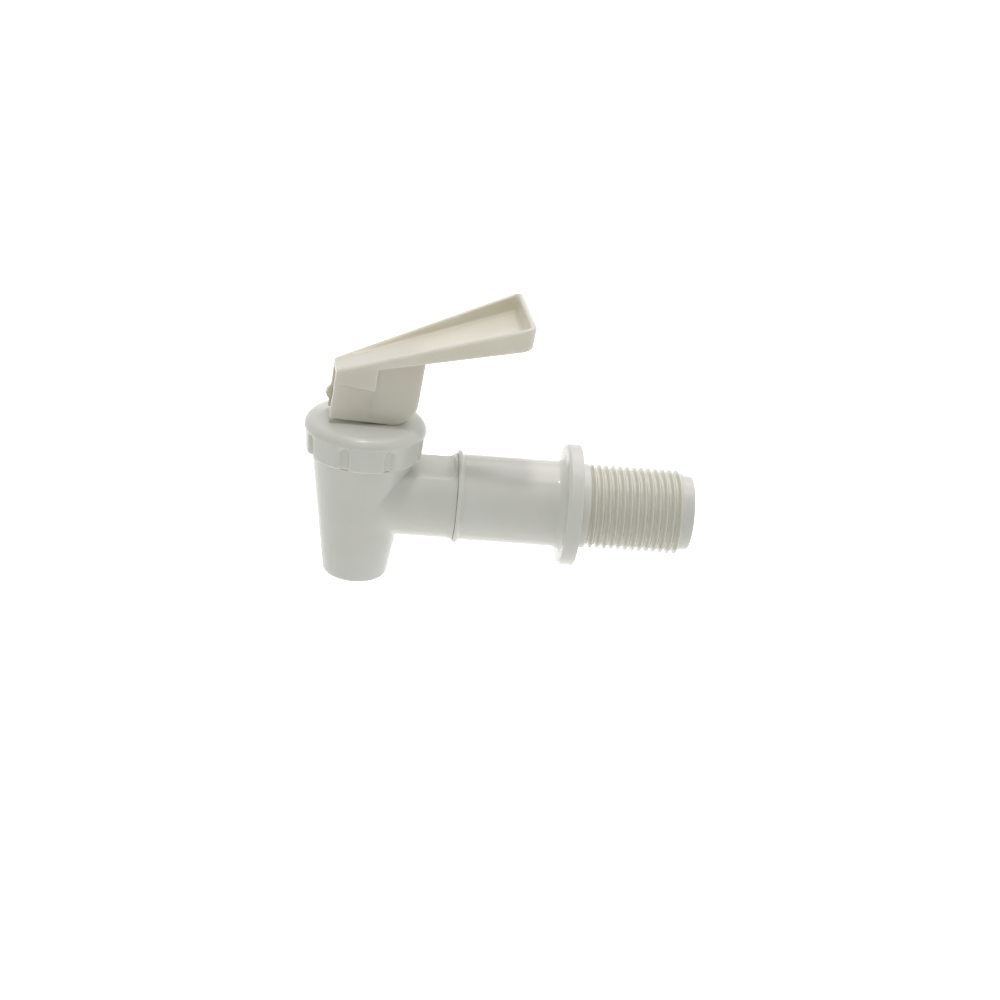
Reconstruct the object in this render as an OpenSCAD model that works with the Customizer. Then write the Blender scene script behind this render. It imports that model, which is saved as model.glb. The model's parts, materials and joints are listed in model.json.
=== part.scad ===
// Water dispenser faucet: a self-closing tap with a lever on top, a spout that
// points down and a threaded shank that passes through the dispenser's wall.
// +Z is up the spout, +X runs along the arm and the shank, and the origin is
// the centre of the outlet at the spout's lower end.

/* [Spout] */
// Height of the arm's axis above the outlet
arm_z = 19.6; // [18.5:0.1:22]
// Diameter of the spout at the outlet
spout_d = 14.26; // [13.5:0.02:15.5]
// Diameter of the spout just under the bonnet
spout_top_d = 22.6; // [22:0.1:23.4]
// Rounding of the spout's lower edge
spout_lip_r = 0.5; // [0.2:0.1:0.9]
// Diameter of the outlet bore
outlet_d = 9.2; // [8:0.1:9.6]
// Height of the valve seat above the outlet
seat_z = 11.4; // [10.8:0.1:12]
// How far the seat's lip stands above the chamber's floor
seat_lip_h = 1.2; // [0.6:0.1:1.8]
// Width of the seat's lip
seat_lip_w = 0.7; // [0.5:0.1:0.9]
// Thickness of the spout's wall round the chamber
spout_wall = 2.0; // [1.6:0.1:2.2]

/* [Neck and its thread] */
// Height of the shoulder under the bonnet, above the arm's axis
shoulder_up = 9.3; // [9:0.1:10]
// Height of the neck above its shoulder
neck_h = 5.0; // [4.9:0.1:5.6]
// Outer diameter of the neck's thread
neck_d = 22.0; // [21.8:0.1:22.2]
// Inner diameter of the neck
neck_bore_d = 17.2; // [16.6:0.1:17.6]
// Pitch of the neck's thread
neck_pitch = 1.6; // [1.5:0.05:1.7]
// Depth of the neck's thread
neck_thread_h = 0.65; // [0.5:0.05:0.75]
// Radial clearance between the neck and the bonnet
neck_gap = 0.2; // [0.2:0.05:0.3]

/* [Arm] */
// Diameter of the arm where its flare starts
arm_d = 18.7; // [18:0.1:19]
// Draft of the arm and the tube, in degrees
draft = 0.1; // [0.05:0.05:0.3]
// Height of the flat on top of the arm, above the arm's axis
arm_flat_up = 6.8; // [6.4:0.1:7.4]
// Distance from the spout's axis to the joint between arm and shank
arm_len = 20.9; // [20:0.1:24]
// Diameter of the weld bead at that joint
bead_d = 20.7; // [20:0.1:21.4]
// Length of the bead on the shank's side of the joint
bead_len = 1.9; // [1.4:0.1:2.4]
// Length of the flare that leads up to the bead on the arm
flare_len = 2.2; // [1.5:0.1:3]
// Step between the flare and the bead
bead_step = 0.2; // [0.1:0.05:0.4]
// Distance from the flat's end to the joint
flat_end = 1.4; // [1:0.1:2.4]
// Rounding of the flat's corners, seen from above
flat_corner_r = 1.5; // [1:0.1:2]
// Diameter of the waterway through the arm
arm_bore_d = 8.6; // [7.6:0.1:8.8]

/* [Shank] */
// Diameter of the smooth tube where it meets the flange
tube_d = 19.1; // [18.6:0.1:19.4]
// Length from the spout's axis to the flange's seating face
flange_x = 48.1; // [44:0.1:60]
// Thickness of the flange
flange_t = 3.3; // [2.6:0.1:4]
// Diameter of the flange
flange_d = 27.1; // [25:0.1:32]
// Depth of the relief in the seating face, round the neck
relief_t = 0.3; // [0.2:0.1:0.6]
// How far that relief reaches past the thread
relief_w = 0.8; // [0.7:0.1:1.2]
// Fillet between the tube and the flange
flange_fillet = 2.0; // [1:0.1:3]
// Height of the bevel on the flange's front rim
rim_bevel_h = 0.7; // [0.4:0.05:1]
// Length of the bevel on the flange's front rim
rim_bevel_len = 1.0; // [0.6:0.1:1.6]
// Outer diameter of the thread
thread_d = 18.8; // [18.6:0.05:19.05]
// Pitch of the thread, 16 to the inch
thread_pitch = 1.5875; // [1.5:0.0125:1.6]
// Depth of the thread
thread_h = 0.85; // [0.7:0.05:0.95]
// Number of thread crests
thread_turns = 13; // [8:1:16]
// Diameter of the smooth nose
nose_d = 16.6; // [16.4:0.1:17]
// Length of the smooth land behind the flange, as wide as the thread
land_len = 2.05; // [1.5:0.05:3]
// Length of the smooth nose
nose_len = 2.2; // [1.6:0.1:6]
// Diameter of the waterway through the shank
shank_bore_d = 11.0; // [10:0.1:12]
// Length of the spigot that is welded into the arm
spigot_len = 5.0; // [4:0.1:6]
// Diameter of that spigot
spigot_d = 11.2; // [10.8:0.1:11.4]

/* [Bonnet] */
// Diameter of the bonnet's skirt at its lower edge
skirt_d = 25.3; // [25:0.1:26.4]
// Diameter of the bonnet's shoulder
bonnet_d = 26.72; // [26.4:0.02:27.6]
// Height of the bonnet
bonnet_h = 7.8; // [7.6:0.1:8.6]
// Rounding of the bonnet's top edge
bonnet_round = 2.2; // [1.2:0.1:2.4]
// Step between the grip band and the rounded shoulder
band_step = 0.16; // [0.05:0.01:0.2]
// Number of grip notches
notch_n = 8; // [4:1:12]
// Turn of the first notch from the near side
notch_turn = 25.5; // [0:0.5:44]
// Radius of a grip notch
notch_r = 1.25; // [1:0.05:1.5]
// Depth of a grip notch
notch_depth = 0.55; // [0.4:0.05:0.6]
// Distance from a notch's top to the top of the bonnet
notch_down = 2.6; // [2.4:0.1:3]
// Diameter of the guide boss inside the bonnet
boss_d = 7.8; // [7.6:0.1:8]
// Length of the guide boss
boss_h = 2.0; // [1.6:0.1:2.4]

/* [Valve] */
// Thickness of the seat cup's rim, clamped under the bonnet
rim_t = 1.0; // [0.8:0.1:1.2]
// Thickness of the seat cup's wall
cup_wall = 0.9; // [0.7:0.1:1]
// Thickness of the seat cup's plug
plug_t = 2.8; // [2.4:0.1:3.2]
// Diameter of the plug where it meets the seat
plug_d = 11.6; // [11.3:0.1:11.8]
// Diameter of the stem where it passes the bonnet
stem_d = 4.6; // [4.4:0.1:4.8]
// Diameter of the stem below the bonnet
stem_low_d = 6.4; // [6:0.1:6.8]
// Diameter of the stem's collar
collar_d = 10.6; // [10:0.1:10.8]
// Thickness of the stem's collar
collar_t = 1.6; // [1.2:0.1:2]
// Diameter of the button that snaps into the seat cup
button_d = 4.8; // [4.4:0.1:5.4]
// Height of the button
button_h = 1.0; // [0.8:0.1:1.2]
// Height of the waist above the button
waist_h = 0.6; // [0.4:0.1:0.8]
// Lift of the stem from shut to fully open
lift = 2.2; // [2.2:0.05:2.5]
// Diameter of the spring's wire
wire_d = 0.9; // [0.8:0.05:1]
// Mean diameter of the spring
spring_d = 9.8; // [9.6:0.1:9.9]
// Number of turns in the spring
spring_turns = 8; // [6:1:10]
// Thickness of the thrust washer
washer_t = 0.8; // [0.6:0.1:1.2]
// Outer diameter of the thrust washer
washer_d = 12.4; // [11.6:0.1:13]

/* [Handle] */
// Turn of the lever about the spout, away from the near side
handle_turn = 4.4; // [-180:0.1:180]
// Forward lean of the lever at rest, its idle play
handle_lean = 4.8; // [3:0.1:6]
// Width of the handle's base
base_w = 8.0; // [7.8:0.1:9]
// Distance from the pin to the base's open end
heel_x = 8.0; // [7:0.1:9]
// Distance from the pin to the centre of the rounded fulcrum corner
fulcrum_x = 5.1; // [4.9:0.1:5.4]
// Radius of the fulcrum corner
fulcrum_r = 5.5; // [5:0.1:5.8]
// Height of the pin above the base's flat underside
pin_up = 4.9; // [4.6:0.1:5.2]
// Thickness of the base's side walls
base_wall = 1.55; // [1.4:0.05:1.6]
// Thickness of the base's front wall
front_wall = 1.5; // [1.2:0.1:1.8]
// Distance from the pin to the lever's tip
lever_len = 31.4; // [26:0.1:40]
// Width of the lever at its tip
tip_w = 24.2; // [18:0.1:28]
// Height of the tray's rim above the pin, at the open end
rim_up = 6.2; // [6:0.1:7]
// Height of the tray's walls at the open end
rim_step = 0.2; // [0.1:0.1:0.6]
// Slope of the tray's rim
rim_slope = 24.86; // [23:0.1:28]
// Slope of the tray's floor
floor_slope = 19.85; // [17:0.1:21]
// Thickness of the tray's floor
floor_t = 1.1; // [0.9:0.1:1.4]
// Thickness of the tray's walls
tray_wall = 1.2; // [1:0.1:1.6]
// Rounding of the tip's corners, seen from above
tip_r = 2.0; // [1.3:0.1:3]
// Rounding of the tip's lower edge
tip_under_r = 1.2; // [0.6:0.1:1.6]
// Length of the cheek under the tray's narrow end
cheek_len = 8.7; // [6:0.1:10]
// Height of the cheek's lower edge above the pin
cheek_up = 3.1; // [2.6:0.1:3.4]
// Radius of the small nub at the heel of the far wall
nub_r = 1.5; // [1.2:0.1:1.8]
// How far the nub stands out
nub_out = 0.85; // [0.5:0.05:1]
// Depth of the nub's centre under the pin
nub_down = 1.6; // [1.2:0.1:2]

/* [Cross pin] */
// Diameter of the cross pin
pin_d = 2.5; // [2.2:0.1:2.8]
// How far the pin's ends reach into the handle's walls
pin_reach = 0.9; // [0.7:0.1:1]
// How much narrower than the pin its snap-in groove is
snap = 0.3; // [0.2:0.05:0.4]

/* [Fits] */
// Radial clearance of a part that turns or slides in another
running_gap = 0.05; // [0.02:0.01:0.08]
// Clearance between faces that only just meet
face_gap = 0.05; // [0.02:0.01:0.1]
// Clearance between the handle and the bonnet at rest
rest_gap = 0.05; // [0.02:0.01:0.1]

/* [Hidden] */
$fn = 96;
arc_steps = 8;
// How far a cut runs past the face it opens
past = 1;
// How far two shapes of one piece run into each other
bite = 0.1;
// Bevel on small outer edges
edge = 0.4;
white = [0.86, 0.87, 0.86];
ivory = [0.88, 0.86, 0.80];

// Heights, from the outlet up
shoulder_z = arm_z + shoulder_up;
neck_top_z = shoulder_z + neck_h;
neck_thread_z = shoulder_z + 0.1;
skirt_gap = 0.2;
skirt_z = shoulder_z + skirt_gap;
ceiling_z = neck_top_z + rim_t;
bonnet_top_z = skirt_z + bonnet_h;
floor_z = seat_z - seat_lip_h;
collar_z = seat_z + plug_t;
collar_top_z = collar_z + collar_t;
boss_z = ceiling_z - boss_h;
stem_step_z = boss_z - lift - face_gap;
washer_z = ceiling_z - face_gap - washer_t;
button_z = collar_z - waist_h - button_h;

// The handle pivots on the cross pin, whose height lets the fulcrum corner
// just meet the bonnet's top at the resting lean.
fulcrum_up = fulcrum_r - pin_up;
pin_z = bonnet_top_z + rest_gap + fulcrum_r
    + fulcrum_x * sin(handle_lean) - fulcrum_up * cos(handle_lean);

// Radii that follow from the sizes above
neck_root_r = neck_d / 2 - neck_thread_h;
bonnet_root_r = neck_d / 2 + neck_gap;
bonnet_crest_r = neck_root_r + neck_gap;
cavity_w = base_w - 2 * base_wall;
pin_len = cavity_w + 2 * pin_reach;
spout_slope = (spout_top_d - spout_d) / 2 / shoulder_z;

// Radius of the spout's outside at height z
function spout_r(z) = spout_d / 2 + spout_slope * z;
// Points along an arc about (x, y), from angle a0 to angle a1
function arc(x, y, r, a0, a1, n = arc_steps) =
    [for (i = [0 : n]) let (a = a0 + (a1 - a0) * i / n) [x + r * cos(a), y + r * sin(a)]];
// One thread ridge in section: root radius, crest radius, start and pitch
function ridge(root, crest, z, pitch) =
    [[root, z], [crest, z + 0.33 * pitch], [crest, z + 0.58 * pitch], [root, z + 0.91 * pitch]];

// Turns a profile of [radius, place along X] about the arm's axis
module about_arm() {
    translate([0, 0, arm_z]) rotate([0, 90, 0]) rotate_extrude() children();
}

module faucet_body() {
    neck_turns = floor((neck_top_z - neck_thread_z) / neck_pitch);
    ridges = [for (i = [0 : neck_turns - 1])
        each ridge(neck_root_r, neck_d / 2, neck_thread_z + i * neck_pitch, neck_pitch)];
    color(white) difference() {
        union() {
            rotate_extrude() polygon(concat(
                [[0, 0]],
                arc(spout_r(0) - spout_lip_r, spout_lip_r, spout_lip_r, -90, 0),
                [[spout_r(shoulder_z), shoulder_z], [neck_root_r, shoulder_z]],
                ridges,
                [[neck_root_r, neck_top_z], [0, neck_top_z]]));
            arm();
        }
        chamber();
        outlet();
        arm_waterway();
    }
}

// The arm: a round bar that flares up to the weld bead, with a flat on top
module arm() {
    flare_h = (bead_d - arm_d) / 2 - bead_step;
    start_r = arm_d / 2 - (arm_len - flare_len) * tan(draft);
    cut_half_w = sqrt(arm_d * arm_d / 4 - arm_flat_up * arm_flat_up) + edge;
    difference() {
        about_arm() polygon(concat(
            [[0, 0], [start_r, 0]],
            [for (i = [0 : arc_steps]) let (t = i / arc_steps)
                [arm_d / 2 + flare_h * t * t, arm_len - flare_len * (1 - t)]],
            [[0, arm_len]]));
        translate([0, 0, arm_z + arm_flat_up]) linear_extrude(arm_d) hull() {
            translate([0, -cut_half_w]) square([past, 2 * cut_half_w]);
            for (side = [-1, 1])
                translate([arm_len - flat_end - flat_corner_r, side * (cut_half_w - flat_corner_r)])
                    circle(flat_corner_r, $fn = 32);
        }
    }
}

// The chamber round the seat's lip, which follows the spout's taper up to the
// neck; the seat cup's plug closes on the lip
module chamber() {
    straight_z = arm_z + arm_bore_d / 2;
    rotate_extrude() polygon([
        [0, seat_z],
        [outlet_d / 2 + seat_lip_w, seat_z],
        [outlet_d / 2 + seat_lip_w, floor_z],
        [spout_r(floor_z) - spout_wall, floor_z],
        [neck_bore_d / 2, straight_z],
        [neck_bore_d / 2, neck_top_z + past],
        [0, neck_top_z + past]]);
}

module outlet() {
    translate([0, 0, -past]) cylinder(d = outlet_d, h = seat_z + 2 * past);
}

// The waterway into the chamber and the socket for the shank's spigot
module arm_waterway() {
    translate([0, 0, arm_z]) rotate([0, 90, 0]) {
        cylinder(d = arm_bore_d, h = arm_len + past);
        translate([0, 0, arm_len - spigot_len - face_gap])
            cylinder(d = spigot_d + 2 * running_gap, h = spigot_len + past);
    }
}

module shank() {
    flange_front_x = flange_x - flange_t;
    // The first valley lies between the land and the first ridge
    land_x = flange_x + land_len;
    thread_x = land_x + 0.42 * thread_pitch;
    nose_x = thread_x + thread_turns * thread_pitch;
    end_x = nose_x + nose_len;
    fillet_x = flange_front_x - flange_fillet;
    tube_start_r = tube_d / 2 - (fillet_x - arm_len - bead_len) * tan(draft);
    bead_h = bead_d / 2 - tube_start_r;
    relief_r = thread_d / 2 + relief_w;
    root_r = thread_d / 2 - thread_h;
    ridges = [for (i = [0 : thread_turns - 1])
        each ridge(root_r, thread_d / 2, thread_x + i * thread_pitch, thread_pitch)];
    color(white) difference() {
        about_arm() polygon(concat(
            [[0, arm_len - spigot_len], [spigot_d / 2, arm_len - spigot_len], [spigot_d / 2, arm_len]],
            [for (i = [0 : arc_steps]) let (t = i / arc_steps)
                [tube_start_r + bead_h * (1 + cos(180 * t)) / 2, arm_len + bead_len * t]],
            arc(tube_d / 2 + flange_fillet, fillet_x, flange_fillet, 180, 90),
            [[flange_d / 2 - rim_bevel_h, flange_front_x], [flange_d / 2, flange_front_x + rim_bevel_len],
             [flange_d / 2, flange_x - edge], [flange_d / 2 - edge, flange_x],
             [relief_r, flange_x], [relief_r, flange_x - relief_t],
             [thread_d / 2 - relief_t, flange_x - relief_t], [thread_d / 2, flange_x],
             [thread_d / 2, land_x], [root_r, thread_x - 0.09 * thread_pitch]],
            ridges,
            [[nose_d / 2, nose_x], [nose_d / 2, end_x - edge], [nose_d / 2 - edge, end_x], [0, end_x]]));
        translate([0, 0, arm_z]) rotate([0, 90, 0]) {
            translate([0, 0, arm_len - spigot_len - past]) cylinder(d = arm_bore_d, h = end_x);
            translate([0, 0, arm_len + bead_len]) cylinder(d = shank_bore_d, h = end_x);
        }
    }
}

module bonnet() {
    band_top_z = bonnet_top_z - bonnet_round;
    band_top_r = bonnet_d / 2 - band_step;
    lean = atan((band_top_r - skirt_d / 2) / (band_top_z - skirt_z));
    thread_z0 = neck_thread_z + neck_pitch / 2;
    turns = floor((neck_top_z - thread_z0) / neck_pitch);
    // The ridges point inwards, so the profile runs down the skirt's inside
    ridges = [for (i = [turns - 1 : -1 : 0]) let (z = thread_z0 + i * neck_pitch)
        each [[bonnet_root_r, z + 0.91 * neck_pitch], [bonnet_crest_r, z + 0.58 * neck_pitch],
              [bonnet_crest_r, z + 0.33 * neck_pitch], [bonnet_root_r, z]]];
    color(white) difference() {
        rotate_extrude() polygon(concat(
            [[skirt_d / 2 - edge / 2, skirt_z], [skirt_d / 2, skirt_z + edge / 2],
             [band_top_r, band_top_z - band_step]],
            arc(bonnet_d / 2 - bonnet_round, band_top_z, bonnet_round, 0, 90),
            [[stem_d / 2 + running_gap, bonnet_top_z], [stem_d / 2 + running_gap, boss_z],
             [boss_d / 2, boss_z], [boss_d / 2, ceiling_z], [bonnet_root_r, ceiling_z]],
            ridges,
            [[bonnet_root_r, skirt_z]]));
        for (i = [0 : notch_n - 1]) rotate([0, 0, notch_turn - 90 + i * 360 / notch_n])
            translate([skirt_d / 2 - notch_depth + notch_r, 0, skirt_z]) rotate([0, lean, 0]) {
                length = bonnet_h - notch_down - notch_r;
                translate([0, 0, -past]) cylinder(r = notch_r, h = length + past, $fn = 32);
                translate([0, 0, length]) sphere(r = notch_r, $fn = 32);
            }
    }
}

// Places the handle, drawn about its own pin, as it leans and is turned
module at_handle() {
    rotate([0, 0, handle_turn]) translate([0, 0, pin_z]) rotate([0, handle_lean, 0]) children();
}

// Turns a side view of [x, z] points into a slab of width w across the handle
module slab(w) {
    translate([0, w / 2, 0]) rotate([90, 0, 0]) linear_extrude(w) children();
}

// Height of the tray's underside and of its rim, at x from the pin
function under(x) = rim_up - rim_step - floor_t + (x + heel_x) * tan(floor_slope);
function rim(x) = rim_up + (x + heel_x) * tan(rim_slope);

// The tray seen from above, narrow at the heel and wide at the tip
module tray_plan(inset) {
    flare = atan((tip_w - base_w) / 2 / (lever_len + heel_x));
    x0 = inset > 0 ? -heel_x - past : -heel_x;
    y0 = base_w / 2 + (x0 + heel_x) * tan(flare) - inset / cos(flare);
    x1 = lever_len - tip_r;
    y1 = base_w / 2 + (x1 + heel_x) * tan(flare) - tip_r / cos(flare);
    polygon(concat(
        [[x0, -y0]],
        arc(x1, -y1, tip_r - inset, -90 - flare, 0),
        arc(x1, y1, tip_r - inset, 0, 90 + flare),
        [[x0, y0]]));
}

module handle() {
    x0 = -heel_x;
    front_x = fulcrum_x + fulcrum_r;
    inner_x = front_x - front_wall;
    // Where the base's hollow starts to be closed below, just short of the
    // line on which the fulcrum corner first meets the bonnet
    closed_x = fulcrum_x + fulcrum_r * sin(handle_lean) + face_gap;
    color(ivory) at_handle() difference() {
        union() {
            // The tray's outside, and the cheeks under its narrow end
            intersection() {
                linear_extrude(2 * lever_len) tray_plan(0);
                slab(2 * tip_w) union() {
                    polygon([
                        [x0, under(x0)], [lever_len - tip_under_r, under(lever_len - tip_under_r)],
                        [lever_len, under(lever_len - tip_under_r) + tip_under_r],
                        [lever_len, rim(lever_len) - 2 * edge],
                        [lever_len - 2 * edge, rim(lever_len - 2 * edge)], [x0, rim(x0)]]);
                    polygon([
                        [x0, cheek_up], [x0 + cheek_len, cheek_up],
                        [x0 + cheek_len, under(x0 + cheek_len) + bite], [x0, under(x0) + bite]]);
                }
            }
            // The base that stands on the bonnet
            slab(base_w) polygon(concat(
                [[x0, -pin_up]],
                arc(fulcrum_x, fulcrum_up, fulcrum_r, -90, 0, 2 * arc_steps),
                [[front_x, under(front_x) + bite], [x0, under(x0) + bite]]));
            translate([0, (base_w - base_wall) / 2, 0]) slab(base_wall)
                translate([x0 + nub_r - nub_out, -nub_down]) circle(nub_r);
        }
        // The hollow of the tray
        intersection() {
            linear_extrude(2 * lever_len) tray_plan(tray_wall);
            slab(2 * tip_w) polygon([
                [x0 - past, under(x0 - past) + floor_t], [lever_len, under(lever_len) + floor_t],
                [lever_len, 2 * lever_len], [x0 - past, 2 * lever_len]]);
        }
        // The hollow of the base, open below and at the heel
        slab(cavity_w) polygon(concat(
            [[x0 - past, -pin_up - past], [closed_x, -pin_up - past]],
            [for (p = arc(fulcrum_x, fulcrum_up, fulcrum_r - front_wall, -90, 0)) if (p[0] > closed_x) p],
            [[inner_x, under(inner_x)], [x0 - past, under(x0 - past)]]));
        pin_sockets();
    }
}

// Blind sockets for the pin's ends, with grooves that let the handle slide on
module pin_sockets() {
    socket_w = pin_len + 2 * face_gap;
    groove_h = pin_d - snap;
    rotate([90, 0, 0]) cylinder(d = pin_d + 2 * running_gap, h = socket_w, center = true);
    translate([-heel_x - past, -socket_w / 2, -groove_h / 2]) cube([heel_x + past, socket_w, groove_h]);
}

module stem() {
    head_z = pin_z + pin_d / 4;
    color("white") difference() {
        rotate_extrude() polygon(concat(
            [[0, button_z], [button_d / 2 - edge, button_z], [button_d / 2, button_z + edge],
             [button_d / 2, collar_z - waist_h], [button_d / 4, collar_z - waist_h],
             [button_d / 4, collar_z], [collar_d / 2, collar_z], [collar_d / 2, collar_top_z],
             [stem_low_d / 2, collar_top_z], [stem_low_d / 2, stem_step_z], [stem_d / 2, stem_step_z]],
            arc(0, head_z, stem_d / 2, 0, 90)));
        rotate([0, 0, handle_turn]) translate([0, 0, pin_z]) rotate([90, 0, 0])
            cylinder(d = pin_d, h = 2 * stem_d, center = true);
    }
}

module cross_pin() {
    color("silver") rotate([0, 0, handle_turn]) translate([0, 0, pin_z]) rotate([90, 0, 0])
        cylinder(d = pin_d, h = pin_len, center = true);
}

module thrust_washer() {
    color("ghostwhite") translate([0, 0, washer_z]) difference() {
        cylinder(d = washer_d, h = washer_t);
        translate([0, 0, -past]) cylinder(d = boss_d + 4 * running_gap, h = washer_t + 2 * past);
    }
}

// The spring's wire, swept along a helix whose end turns lie closed
module spring() {
    sides = 8;
    steps = 20;
    z0 = collar_top_z + face_gap + wire_d / 2;
    z1 = washer_z - face_gap - wire_d / 2;
    active = spring_turns - 2;
    function rise(t) = t < 1 ? wire_d * t
        : t > spring_turns - 1 ? (z1 - z0) - wire_d * (spring_turns - t)
        : wire_d + (z1 - z0 - 2 * wire_d) * (t - 1) / active;
    rings = spring_turns * steps;
    points = [for (i = [0 : rings], j = [0 : sides - 1])
        let (t = i / steps, a = 360 * t, b = 360 * j / sides,
             r = spring_d / 2 + wire_d / 2 * cos(b))
        [r * cos(a), r * sin(a), z0 + rise(t) + wire_d / 2 * sin(b)]];
    walls = [for (i = [0 : rings - 1], j = [0 : sides - 1])
        let (k = (j + 1) % sides)
        [i * sides + j, i * sides + k, (i + 1) * sides + k, (i + 1) * sides + j]];
    first = [for (j = [sides - 1 : -1 : 0]) j];
    last = [for (j = [0 : sides - 1]) rings * sides + j];
    color("lightgray") polyhedron(points, concat(walls, [first], [last]), convexity = 10);
}

module seat_cup() {
    rim_r = bonnet_crest_r - 2 * neck_gap;
    // The wall hangs clear of the neck, and widens from the collar to the rim
    top_r = neck_bore_d / 2 - 2 * neck_gap;
    low_r = collar_d / 2 + 2 * neck_gap + cup_wall;
    taper_z = neck_top_z - boss_h;
    color("whitesmoke") rotate_extrude() polygon([
        [0, seat_z], [plug_d / 2, seat_z], [low_r, seat_z + plug_t / 2], [low_r, collar_top_z],
        [top_r, taper_z], [top_r, neck_top_z], [rim_r, neck_top_z], [rim_r, ceiling_z],
        [top_r - cup_wall, ceiling_z], [top_r - cup_wall, taper_z],
        [low_r - cup_wall, collar_top_z], [low_r - cup_wall, collar_z - face_gap],
        [button_d / 4 + face_gap, collar_z - face_gap],
        [button_d / 4 + face_gap, collar_z - waist_h + face_gap],
        [button_d / 2 + face_gap, collar_z - waist_h + face_gap],
        [button_d / 2 + face_gap, button_z - face_gap], [0, button_z - face_gap]]);
}

faucet_body();
shank();
bonnet();
handle();
stem();
cross_pin();
thrust_washer();
spring();
seat_cup();
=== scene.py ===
# %% [markdown]
# A water dispenser faucet, made ready for the camera. The real object is a handful of injection
# mouldings in two shades of white plastic: a spout with a short arm, a threaded shank that is welded
# into the arm, a screwed bonnet and a thumb lever. The valve's small parts hide inside them.
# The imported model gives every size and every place, so it is loaded first and never moved. Each
# moulding is then made again around it with the soft edges and the true thread that the packed
# solids leave out.

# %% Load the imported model
import itertools
import json
import math
from functools import partial

import bmesh
import bpy
import numpy as np
from mathutils import Matrix, Vector


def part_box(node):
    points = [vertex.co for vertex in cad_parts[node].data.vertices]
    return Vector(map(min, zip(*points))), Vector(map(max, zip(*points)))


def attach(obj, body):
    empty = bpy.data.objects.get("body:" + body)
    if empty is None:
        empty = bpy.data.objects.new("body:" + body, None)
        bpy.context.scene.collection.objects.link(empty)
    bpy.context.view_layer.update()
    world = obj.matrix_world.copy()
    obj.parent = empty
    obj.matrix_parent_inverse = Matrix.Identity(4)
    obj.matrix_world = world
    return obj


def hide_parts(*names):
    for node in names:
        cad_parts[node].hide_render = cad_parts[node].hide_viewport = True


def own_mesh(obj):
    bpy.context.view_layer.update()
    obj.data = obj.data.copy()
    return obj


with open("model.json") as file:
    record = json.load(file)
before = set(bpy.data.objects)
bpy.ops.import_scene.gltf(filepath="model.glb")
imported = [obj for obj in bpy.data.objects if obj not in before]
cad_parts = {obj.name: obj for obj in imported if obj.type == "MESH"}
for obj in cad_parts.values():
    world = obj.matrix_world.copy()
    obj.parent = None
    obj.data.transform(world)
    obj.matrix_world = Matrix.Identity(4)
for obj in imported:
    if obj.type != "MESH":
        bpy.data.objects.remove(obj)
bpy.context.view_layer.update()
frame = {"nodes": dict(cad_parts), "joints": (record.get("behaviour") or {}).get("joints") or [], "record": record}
mounts = {m["name"]: m for m in frame["record"]["mounts"]}
joints = {j["name"]: j for j in frame["joints"]}

# %% [markdown]
# Blender works in metres, but a faucet is thought of in millimetres, so every size below is in
# millimetres and one factor turns it to metres. Sizes that the imported model already holds are read
# from its mounts, joints and boxes, so that a changed model moves the looks with it.

# %% Sizes that come from the model
MM = 0.001


def box_mm(node):
    """The lowest and highest corner of a node of the model, in millimetres."""
    return [np.array(corner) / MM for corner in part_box(node)]


spout_low, spout_high = box_mm("faucet_body")
shank_low, shank_high = box_mm("shank")
bonnet_low, bonnet_high = box_mm("bonnet")
arm_z = mounts["shank"]["pos_m"][2] / MM
arm_len = spout_high[0]
outlet_r = mounts["water_outlet"]["dims"]["r_mm"]
seat_z = mounts["water_outlet"]["dims"]["length_mm"]
shank_bore_r = mounts["water_inlet"]["dims"]["r_mm"]
thread_r = mounts["shank"]["dims"]["r_mm"]
flange_x = mounts["flange_face"]["pos_m"][0] / MM
pin_z = joints["handle_tilt"]["pos_m"][2] / MM
pin_axis = Vector(joints["handle_tilt"]["axis"])
print("arm axis at", round(arm_z, 2), "mm, arm", round(arm_len, 2), "mm long, pin at", round(pin_z, 3), "mm")

# %% [markdown]
# The camera stands where the photographer's stood. Its place was worked out from the outlines of the
# spout, the flange and the thread in the photograph: seen from a little left of square, from 25
# degrees above, with the picture rolled by 6.6 degrees. A long lens at 0.42 m gives the slight
# perspective that makes the shank's far end smaller.

# %% Camera
PHOTO_SIDE = 1000
FOCAL_PX = 1891.4
camera_turn, camera_height, camera_roll = (math.radians(d) for d in (-5.761, 24.995, 6.616))
camera_place = Vector((-7.27, -379.99, 197.51)) * MM

toward_camera = Vector((
    math.sin(camera_turn) * math.cos(camera_height),
    -math.cos(camera_turn) * math.cos(camera_height),
    math.sin(camera_height)))
level = Vector((math.cos(camera_turn), math.sin(camera_turn), 0))
upright = toward_camera.cross(level)
right = math.cos(camera_roll) * level + math.sin(camera_roll) * upright
up = math.cos(camera_roll) * upright - math.sin(camera_roll) * level

camera_data = bpy.data.cameras.new("camera")
camera_data.sensor_width = 36
camera_data.lens = camera_data.sensor_width * FOCAL_PX / PHOTO_SIDE
camera_data.clip_start = 0.01
camera = bpy.data.objects.new("camera", camera_data)
camera_axes = Matrix((right, up, toward_camera)).transposed().to_4x4()
camera.matrix_world = Matrix.Translation(camera_place) @ camera_axes
bpy.context.scene.collection.objects.link(camera)
bpy.context.scene.camera = camera
print("lens", round(camera_data.lens, 2), "mm")

# %% [markdown]
# One helper adds a node to any tree, shader or geometry: its properties are keyword arguments, and
# its inputs are values or sockets. Another turns a colour as it is written in sRGB hex into the
# linear values that Blender's shaders calculate with.

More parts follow.
